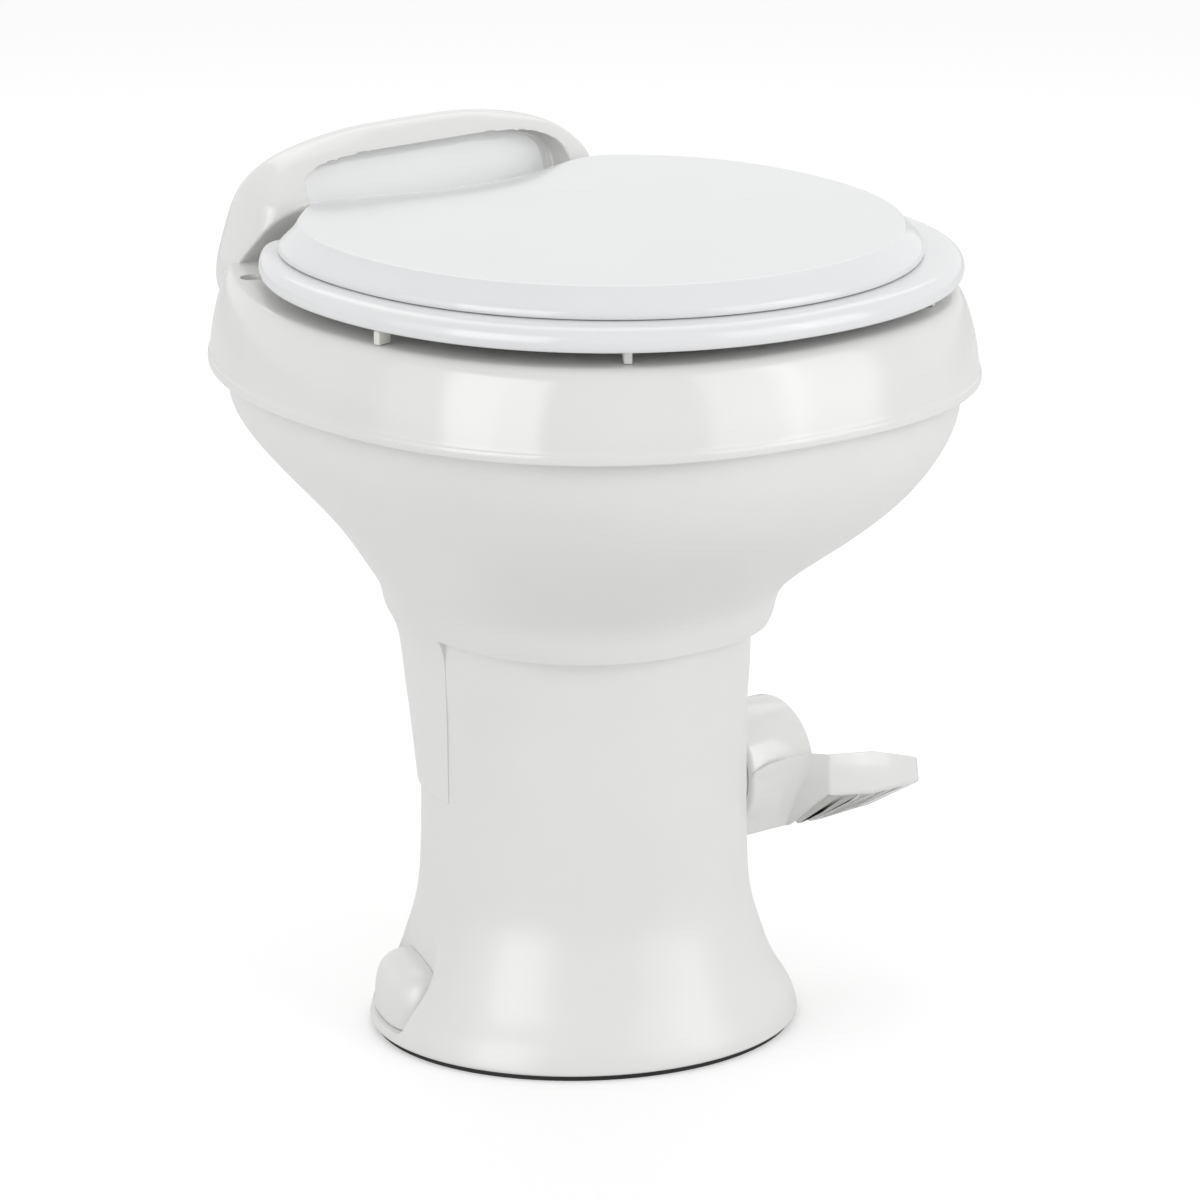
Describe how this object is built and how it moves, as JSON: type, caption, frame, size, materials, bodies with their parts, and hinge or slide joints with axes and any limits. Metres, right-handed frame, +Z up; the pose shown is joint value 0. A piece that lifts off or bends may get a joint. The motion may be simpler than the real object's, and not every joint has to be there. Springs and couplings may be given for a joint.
{
  "type": "rv toilet",
  "caption": "Gravity-flush RV toilet: round pedestal, flared bowl, deck with rear hood, hinged seat and lid, and a sprung foot pedal that turns a half-ball flush valve.",
  "frame": {"origin": "on the pedestal's axis at the floor, which is the centre of the bounding box's bottom", "axes": "+Z up, the front of the bowl faces -Y, the pedal is on +X"},
  "size_m": [0.398, 0.432, 0.4905],
  "materials": {
    "white_plastic": "glossy moulded white",
    "seat_plastic": "glossy moulded white",
    "grey_plastic": "matt moulded grey",
    "black_rubber": "matt black",
    "white_rubber": "matt off-white",
    "steel": "plain zinc-plated",
    "brass": "machined"
  },
  "bodies": {
    "toilet": {"pedestal": "white_plastic", "base_gasket": "black_rubber", "outlet_funnel": "grey_plastic", "floor_bolt_left": "brass", "floor_bolt_right": "brass", "floor_nut_left": "steel", "floor_nut_right": "steel", "floor_washer_left": "steel", "floor_washer_right": "steel", "bolt_cover_left": "white_plastic", "bolt_cover_right": "white_plastic", "bowl": "white_plastic", "basin": "white_plastic", "bowl_seal": "black_rubber", "rinse_nozzle": "grey_plastic", "shaft_bush": "grey_plastic", "spring_cartridge": "grey_plastic", "water_valve": "grey_plastic", "valve_inlet": "brass", "valve_barb": "grey_plastic", "deck": "white_plastic", "deck_screw_left": "steel", "deck_screw_right": "steel", "hinge_post_left": "white_plastic", "hinge_post_right": "white_plastic", "hinge_pin_left": "grey_plastic", "hinge_pin_right": "grey_plastic"},
    "lid": {"lid": "seat_plastic"},
    "seat": {"seat": "seat_plastic", "seat_bumper_left_front": "white_rubber", "seat_bumper_left_middle": "white_rubber", "seat_bumper_right_front": "white_rubber", "seat_bumper_right_middle": "white_rubber"},
    "flush": {"pedal": "white_plastic", "pedal_screw": "steel", "flush_shaft": "steel", "pivot_stub": "steel", "flush_ball": "grey_plastic", "valve_crank": "grey_plastic"},
    "spool": {"valve_spool": "grey_plastic"}
  },
  "joints": [
    {"name": "lid_lift", "type": "hinge", "parent": "toilet", "child": "lid", "pos_m": [0, 0.092, 0.444], "axis": [-1, 0, 0], "range_deg": [0, 98]},
    {"name": "seat_lift", "type": "hinge", "parent": "toilet", "child": "seat", "pos_m": [0, 0.092, 0.444], "axis": [-1, 0, 0], "range_deg": [0, 98]},
    {"name": "pedal_press", "type": "hinge", "parent": "toilet", "child": "flush", "pos_m": [0, 0, 0.1255], "axis": [1, 0, 0], "range_deg": [-12, 62], "stiffness_Nm_per_rad": 4},
    {"name": "spool_slide", "type": "slide", "parent": "toilet", "child": "spool", "axis": [0, 1, 0], "range_m": [-0.0035, 0.0165]}
  ],
  "couplings": [
    {"joint": "seat_lift", "follows": "lid_lift", "ratio": 1},
    {"joint": "spool_slide", "follows": "pedal_press", "m_per_rad": 0.0147}
  ]
}
